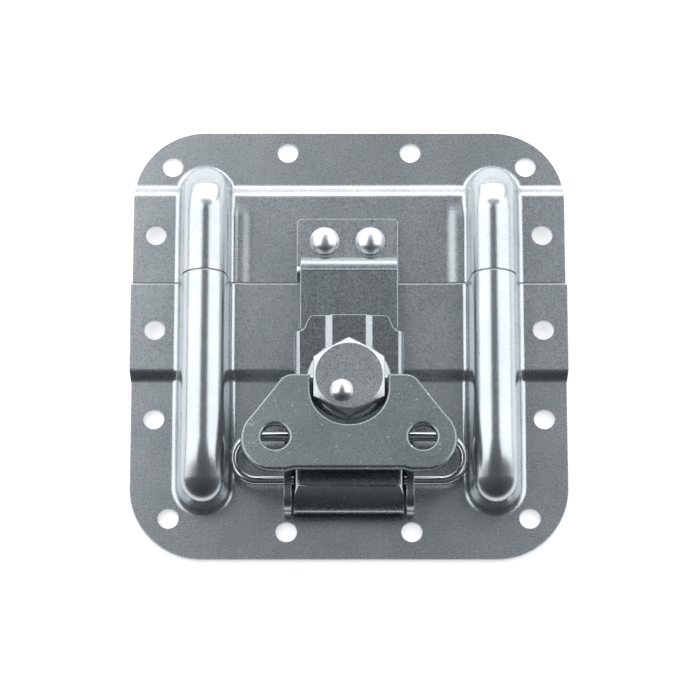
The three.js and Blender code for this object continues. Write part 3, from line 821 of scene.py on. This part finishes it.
def makeBracket():
    floorLow = bracketLow[2]
    floor = floorLow + bracket["sheet"]
    outer = bracketHigh[0]
    inner = outer - bracket["sheet"]
    top = bracketHigh[2]
    nose = bracket["nose"]
    noseY = bracketLow[1] + nose
    ear = [(bracketHigh[1], floorLow), (bracketHigh[1], floor), (hingeY + bracket["earFoot"], floor)]
    ear += [(hingeY + y, top + z) for y, z in bracket["earEnd"]]
    ear += arc(noseY, top - nose, nose, 90, 180, 18) + [(noseY - nose, floorLow)]
    piece = sideBlank("hingeBracket", ear, -outer, outer)
    between = [(noseY - nose - 1, floorLow - 1), (hingeY - 2, floorLow - 1), (hingeY - 2, floor),
               (bracketHigh[1] + 1, floor), (bracketHigh[1] + 1, 20), (noseY - nose - 1, 20)]
    cut(piece, sideBlank("earGap", between, -inner, inner))
    cut(piece, wireHole("earHole", outer))
    finishEdges(piece, bracket["edge"])
    placePiece(piece, "base_half", "bracket_zinc", finishes["cover"], "hinge_bracket")
    dome = domeProfile(bracket["head"], bracket["dome"], floor, 0.2)
    for y, row in zip(bracket["rivetY"], ("upper", "lower")):
        for mirror, label in ((-1, "left"), (1, "right")):
            x = mirror * bracket["rivetX"]
            head = spunBlank("bracketRivet" + row.title() + label.title(), dome, x, y, 40)
            join(head, rod("rivetShank", (x, y, 0), (x, y, floor + 0.2), bracket["shank"], 32))
            finishEdges(head, 0)
            cadNode = "bracket_rivet_" + row + "_" + label
            placePiece(head, "base_half", "rivet_nickel", finishes["rivet"], cadNode)


makeBracket()
print("bracket made")


# spring ring

ring = {"around": 96, "across": 28, "split": 0.3}


def makeRing():
    radius = (ringHigh[1] - ringLow[1]) / 2 - wireRadius
    end = ringHigh[0] - radius - wireRadius
    middle = (ringLow[1] + ringHigh[1]) / 2
    deselectAll()
    bpy.ops.mesh.primitive_torus_add(major_radius=radius * mm, minor_radius=wireRadius * mm,
                                     major_segments=ring["around"], minor_segments=ring["across"])
    piece = bpy.context.object
    piece.name = "springRing"
    # turned by half a segment so that the side strands stretch evenly between the two ends
    piece.data.transform(Matrix.Rotation(math.pi / ring["around"], 4, "Z"))
    for vertex in piece.data.vertices:
        vertex.co.x += end * mm * (1 if vertex.co.x > 0 else -1)
        vertex.co.y += middle * mm
        vertex.co.z += hingeZ * mm
    split = ring["split"]
    cut(piece, brick("wireSplit", (-split, ringLow[1] - 1, 0), (split, hingeY + 3, 20)))
    makeActive(piece)
    bpy.ops.object.shade_smooth_by_angle(angle=math.radians(50))
    placePiece(piece, "cover", "spring_wire", finishes["spring"], "spring_ring")


makeRing()
print("spring ring bent")


# rotor, washers and crank rivet

rotor = {
    "across": 18.0, "face": 8.55, "journal": 7.2, "edge": 0.14, "chamfer": 30, "chamferDrop": 0.29,
    "crankBore": 1.92, "head": 2.95, "dome": 1.7, "shank": 1.88,
    "tail": [(0, -1), (2.4, -1), (3.1, -0.6), (3.1, 0)],
}


def makeRotor():
    base = washerHigh[2] + 0.05
    top = rotorHigh[2]
    corner = rotor["across"] / math.sqrt(3)
    deselectAll()
    bpy.ops.mesh.primitive_cylinder_add(vertices=6, radius=corner * mm, depth=(top - base) * mm,
                                        location=(0, rotorY * mm, (top + base) / 2 * mm))
    hexagon = bpy.context.object
    hexagon.name = "twistRotor"
    bpy.ops.object.transform_apply(location=True, rotation=True, scale=True)
    drop = (corner - rotor["face"]) * math.tan(math.radians(rotor["chamfer"])) + rotor["chamferDrop"]
    cone = spunBlank("hexChamfer", [(0, base - 1), (corner + 0.5, base - 1), (corner + 0.5, top - drop),
                                    (rotor["face"], top), (0, top)], 0, rotorY, 128)
    keep(hexagon, cone)
    join(hexagon, rod("journal", (0, rotorY, rotorLow[2]), (0, rotorY, base + 0.5), rotor["journal"], 72))
    cut(hexagon, rod("crankBore", (crankX, crankY, 0), (crankX, crankY, 30), rotor["crankBore"], 32))
    finishEdges(hexagon, rotor["edge"], angle=20, smooth=26)
    placePiece(hexagon, "rotor", "rotor_zinc", finishes["rotor"], "twist_rotor")

    ledge = (washerHigh[0] - washerLow[0]) / 2
    profile = [(rotor["journal"] + 0.15, washerLow[2]), (ledge, washerLow[2]), (ledge, washerHigh[2]),
               (rotor["journal"] + 0.15, washerHigh[2])]
    washer = spunBlank("thrustWasher", profile, 0, rotorY, 96)
    finishEdges(washer, 0.06)
    placePiece(washer, "rotor", "rotor_zinc", finishes["rivet"], "thrust_washer")

    seat = rotorHigh[2]
    head = spunBlank("crankRivet", domeProfile(rotor["head"], rotor["dome"], seat, 0.15), crankX, crankY, 64)
    tail = [(r, crankLow[2] + z) for r, z in rotor["tail"]]
    tail += [(rotor["shank"], crankLow[2]), (rotor["shank"], seat + 0.3), (0, seat + 0.3)]
    join(head, spunBlank("crankShank", tail, crankX, crankY, 40))
    finishEdges(head, 0)
    placePiece(head, "rotor", "rivet_nickel", finishes["rivet"], "crank_rivet")

    reach = (crankHigh[0] - crankLow[0]) / 2
    bore = rotor["crankBore"]
    profile = [(bore, crankLow[2]), (reach, crankLow[2]), (reach, crankHigh[2]), (bore, crankHigh[2])]
    lower = spunBlank("crankWasher", profile, crankX, crankY, 48)
    finishEdges(lower, 0.08)
    placePiece(lower, "rotor", "rotor_zinc", finishes["rivet"], "crank_washer")


makeRotor()
print("rotor made")


# wing handle

wing = {
    "sheet": 2.2, "tilt": 9.5, "slotHalf": 9.7, "slotV": 3.4, "top": 0.9, "shoulder": 14.7, "low": 25.4,
    "corner": 4.4, "slant": 43, "lobeX": 18.0, "lobeV": 17.1, "lobe": 9.2, "lobeEnd": -62,
    "holeX": 18.5, "holeV": 16.7, "hole": 3.5, "edge": 0.75,
}


def makeWing():
    top, shoulder = wing["top"], wing["shoulder"]
    corner, slant = wing["corner"], wing["slant"]
    # shoulder corner rounded into the slanted side
    right = [(wing["slotHalf"], top), (shoulder - 0.6, top)]
    right += arc(shoulder - 0.6, top - corner, corner, 90, slant, 10)[1:]
    right += arc(wing["lobeX"], -wing["lobeV"], wing["lobe"], slant, wing["lobeEnd"], 30)
    lastX, lastY = right[-1]
    right += [(lastX - 1.6, lastY - 0.62), (shoulder + 1.0, -wing["low"] - 0.55)]
    right.append((shoulder - 0.9, -wing["low"]))
    left = [(-x, y) for x, y in reversed(right)]
    slot = arc(0, -wing["slotV"], wing["slotHalf"], 180, 360, 40)
    half = wing["sheet"] / 2
    piece = planBlank("wingHandle", right + left + slot, -half, half)
    for mirror in (-1, 1):
        x = mirror * wing["holeX"]
        cut(piece, rod("fingerHole", (x, -wing["holeV"], -5), (x, -wing["holeV"], 5), wing["hole"], 64))
    finishEdges(piece, wing["edge"], segments=4)
    turn = Matrix.Rotation(-math.radians(wing["tilt"]), 4, "X")
    piece.data.transform(Matrix.Translation((0, rotorY * mm, pinZ * mm)) @ turn)
    placePiece(piece, "wing", "wing_zinc", finishes["wing"], "wing_handle")
    for mirror, label in ((-1, "left"), (1, "right")):
        low, high = boxMm("wing_pin_" + label)
        radius = (high[2] - low[2]) / 2
        pin = rod("wingPin" + label.title(), (low[0], rotorY, pinZ), (high[0], rotorY, pinZ), radius)
        finishEdges(pin, 0.08)
        placePiece(pin, "wing", "rivet_nickel", finishes["rivet"], "wing_pin_" + label)


makeWing()
print("wing made")


# floor, light and camera

studio = {
    # floorGlow, glowNear and glowFar set painted light: the floor emits a glowing pool round the part that
    # fades to dark further out
    "floor": 3.0, "floorDrop": 0.0002, "floorGlow": 0.5, "glowNear": 0.16, "glowFar": 0.45,
    "target": (0.25, -1.6, 0), "lean": 17.5, "distance": 1050, "lens": 211,
    # brightness of the surroundings from the near end of the floor to the far end
    "air": [
        (0.0, (0.02, 0.022, 0.024)), (0.18, (0.08, 0.087, 0.093)), (0.35, (0.15, 0.16, 0.17)),
        (0.70, (0.17, 0.185, 0.20)), (0.88, (0.60, 0.63, 0.65)), (1.0, (1.0, 1.0, 1.0)),
    ],
}
lamps = {
    "leftBox": {"place": (-0.36, 0.12, 0.30), "size": (0.66, 0.60), "power": 2.3},
    "rightBox": {"place": (0.39, 0.12, 0.29), "size": (0.56, 0.60), "power": 1.9},
    "farBox": {"place": (0.0, 0.95, 0.40), "size": (1.6, 0.5), "power": 6.0},
}
lampAim = (0, 0, 0.005)


def makeFloor():
    deselectAll()
    bpy.ops.mesh.primitive_plane_add(size=studio["floor"], location=(0, 0, -studio["floorDrop"]))
    floor = bpy.context.object
    floor.name = "studioFloor"
    material, tree = newMaterial("paleFloorPaintedGlow")
    point = objectPoint(tree)
    tone = spread(tree, noise(tree, point, 30, 3), 0.3, 0.7, 0, 1)
    colour = mixColour(tree, tone, (0.90, 0.905, 0.91), (0.93, 0.93, 0.935))
    # painted light: the floor glows, bright near the middle and dark further out, and this glow also lights
    # the metal's lower faces from below
    far = node(tree, "ShaderNodeVectorMath", {"operation": "LENGTH"}, [point], 1)
    away = spread(tree, far, studio["glowNear"], studio["glowFar"], 0, 1)
    paintedGlowPool = mixColour(tree, away, (0.93, 0.93, 0.935), (0.08, 0.085, 0.09))
    shader = node(tree, "ShaderNodeBsdfPrincipled", None,
                  {"Base Color": colour, "Roughness": 0.8, "Emission Color": paintedGlowPool,
                   "Emission Strength": studio["floorGlow"]})
    closeMaterial(tree, shader)
    floor.data.materials.append(material)


def softBox(name, place, size, power):
    bpy.ops.object.light_add(type="AREA", location=place)
    lamp = bpy.context.object
    lamp.name = name
    lamp.data.shape = "RECTANGLE"
    lamp.data.size, lamp.data.size_y = size
    lamp.data.energy = power
    lamp.rotation_euler = (Vector(lampAim) - Vector(place)).to_track_quat("-Z", "Y").to_euler()


def makeWorld():
    world = bpy.data.worlds.new("studioAir")
    bpy.context.scene.world = world
    world.use_nodes = True
    tree = world.node_tree
    tree.nodes.clear()
    place = node(tree, "ShaderNodeTexCoord", output=0)
    split = tree.nodes.new("ShaderNodeSeparateXYZ")
    tree.links.new(place.socket, split.inputs[0])
    along = Wire(tree, split.outputs[1]) * 0.5 + 0.5
    tone = node(tree, "ShaderNodeValToRGB", {"stops": studio["air"]}, [along])
    sky = node(tree, "ShaderNodeBackground", None, {"Color": tone, "Strength": 1.0})
    out = tree.nodes.new("ShaderNodeOutputWorld")
    tree.links.new(sky.socket, out.inputs["Surface"])


def makeCamera():
    lean = math.radians(studio["lean"])
    target = Vector(studio["target"]) * mm
    place = target + Vector((0, -math.sin(lean), math.cos(lean))) * studio["distance"] * mm
    bpy.ops.object.camera_add(location=place)
    camera = bpy.context.object
    camera.rotation_euler = (target - place).to_track_quat("-Z", "Y").to_euler()
    camera.data.lens = studio["lens"]
    camera.data.sensor_width = 36
    camera.data.clip_start = 0.01
    camera.data.clip_end = 20
    bpy.context.scene.camera = camera


makeFloor()
makeWorld()
for name, lamp in lamps.items():
    softBox(name, **lamp)
makeCamera()
bpy.context.scene.view_settings.view_transform = "Standard"
print("studio set")
